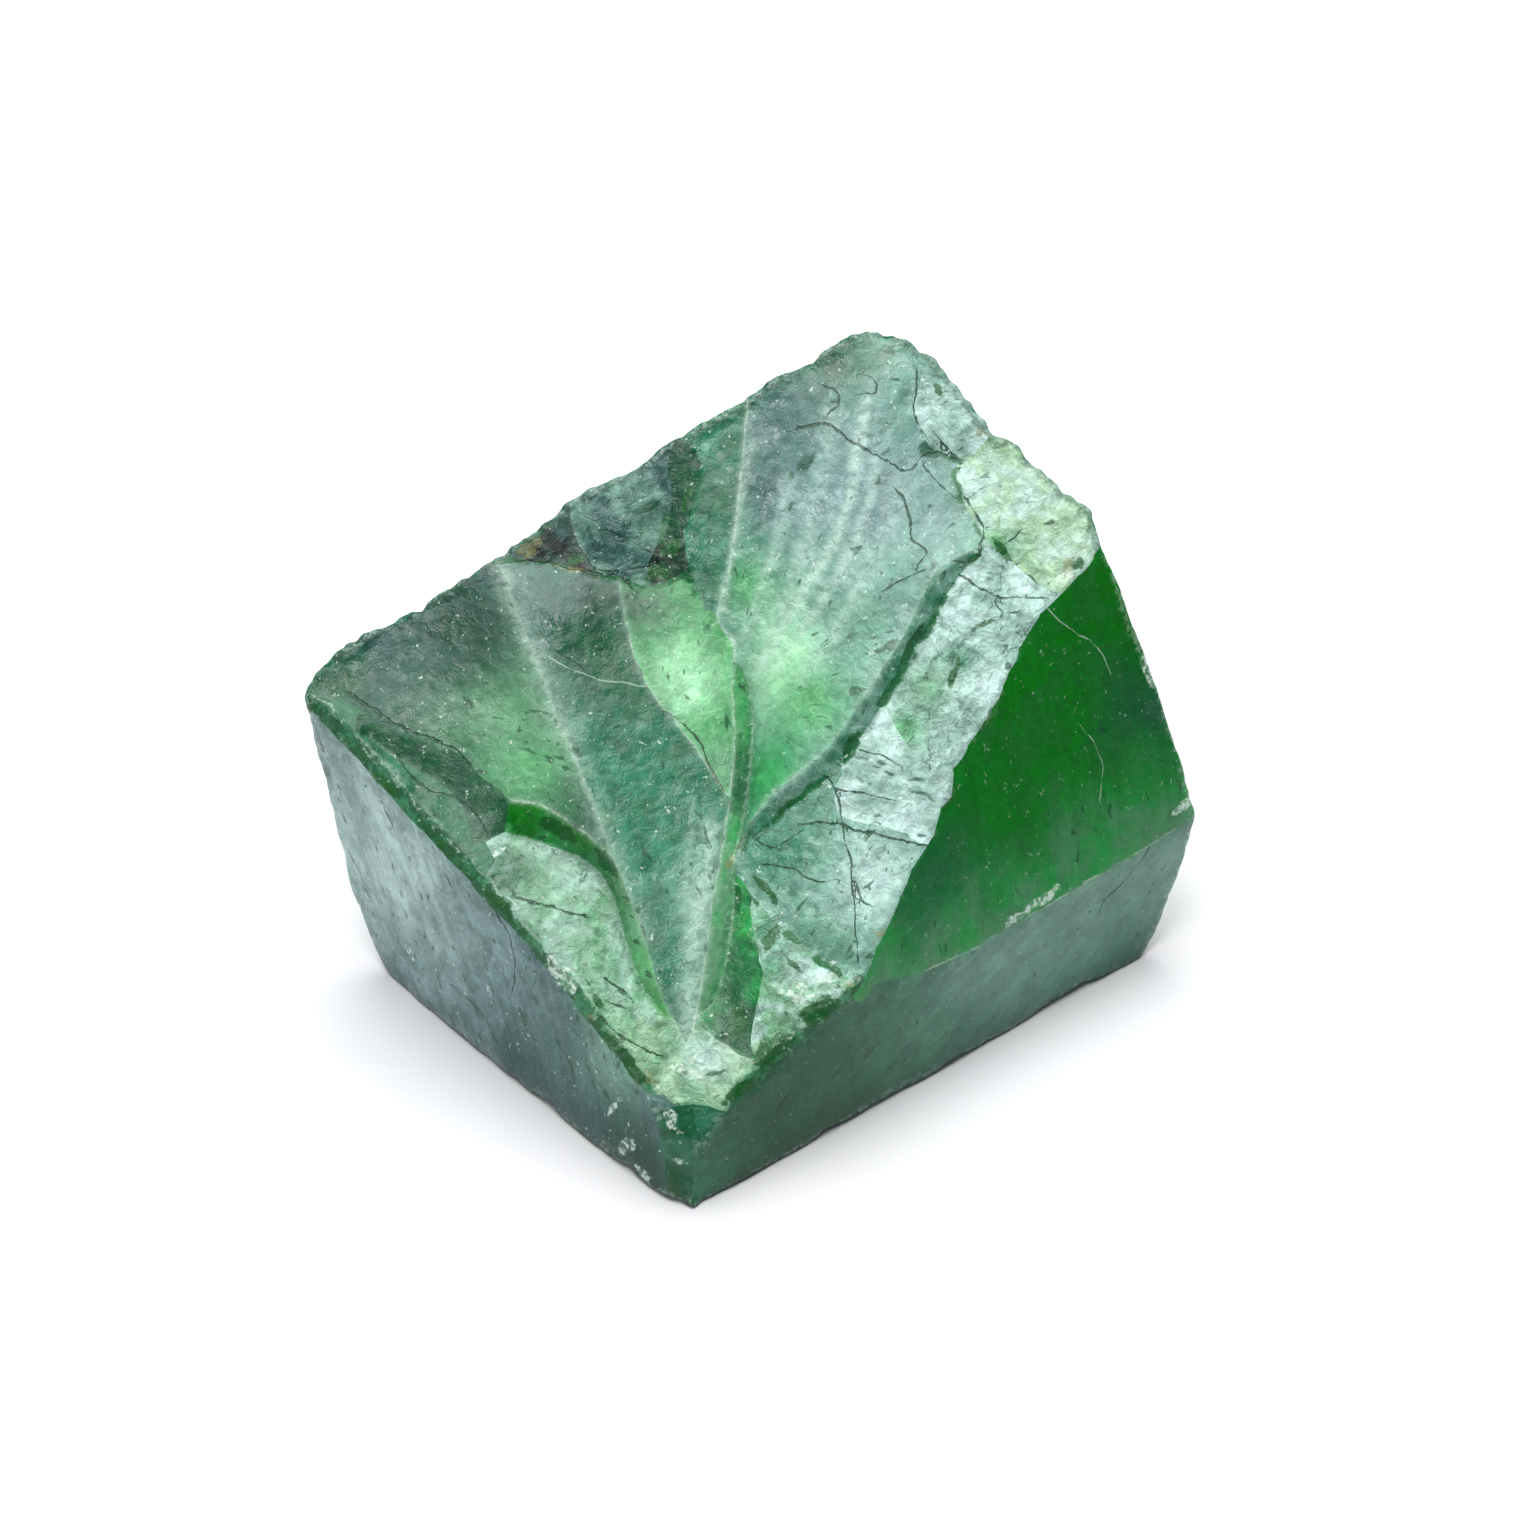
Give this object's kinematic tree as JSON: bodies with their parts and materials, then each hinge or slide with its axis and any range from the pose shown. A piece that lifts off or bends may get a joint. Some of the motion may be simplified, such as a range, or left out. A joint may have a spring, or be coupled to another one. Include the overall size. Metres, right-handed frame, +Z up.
{
  "type": "raw emerald crystal",
  "caption": "Raw block of green beryl with a sloping uneven break, a smooth three-cornered cleavage face, worn walls and a flat foot to stand on.",
  "frame": {"origin": "on the flat foot, about the middle of its outline", "axes": "+Z up from the foot, +X along the long front wall towards the cleavage face, +Y towards the two hidden back walls"},
  "size_m": [0.0492, 0.0398, 0.0371],
  "materials": {
    "emerald": "translucent green beryl with a worn, slightly waxy surface, paler along edges and deep green in its hollows"
  },
  "bodies": {
    "root": {"emerald_crystal": "emerald"}
  },
  "joints": []
}
